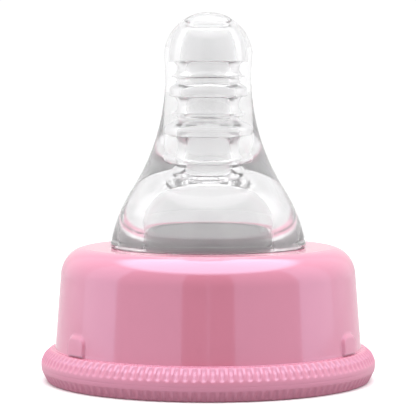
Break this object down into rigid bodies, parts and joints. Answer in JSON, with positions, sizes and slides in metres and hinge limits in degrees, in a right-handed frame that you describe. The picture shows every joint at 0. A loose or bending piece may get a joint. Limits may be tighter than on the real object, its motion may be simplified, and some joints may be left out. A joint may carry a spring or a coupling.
{
  "type": "feeding bottle teat and screw collar",
  "caption": "Clear ribbed silicone feeding teat snapped into a pink screw collar with a fluted flange, with a plug disc under the teat's foot.",
  "frame": {"origin": "on the axis of the collar, in the plane of its open end, which it stands on", "axes": "+Z along the axis from the collar's open end to the teat's tip; -Y is the front, where the view was taken from; +X is to its right"},
  "size_m": [0.0452, 0.0452, 0.0496],
  "materials": {
    "collar_plastic": "glossy moulded pink polypropylene, satin on the fluted flange",
    "teat_silicone": "clear silicone rubber, smooth and glossy, faintly milky where thick",
    "disc_plastic": "satin natural white polypropylene"
  },
  "bodies": {
    "collar": {"collar": "collar_plastic"},
    "teat": {"teat": "teat_silicone"},
    "disc": {"disc": "disc_plastic"}
  },
  "joints": [
    {"name": "teat_turn", "type": "hinge", "parent": "collar", "child": "teat", "pos_m": [0, 0, 0.017], "axis": [0, 0, 1], "continuous": true},
    {"name": "disc_drop", "type": "slide", "parent": "teat", "child": "disc", "axis": [0, 0, -1], "range_m": [0, 0.0016]}
  ]
}
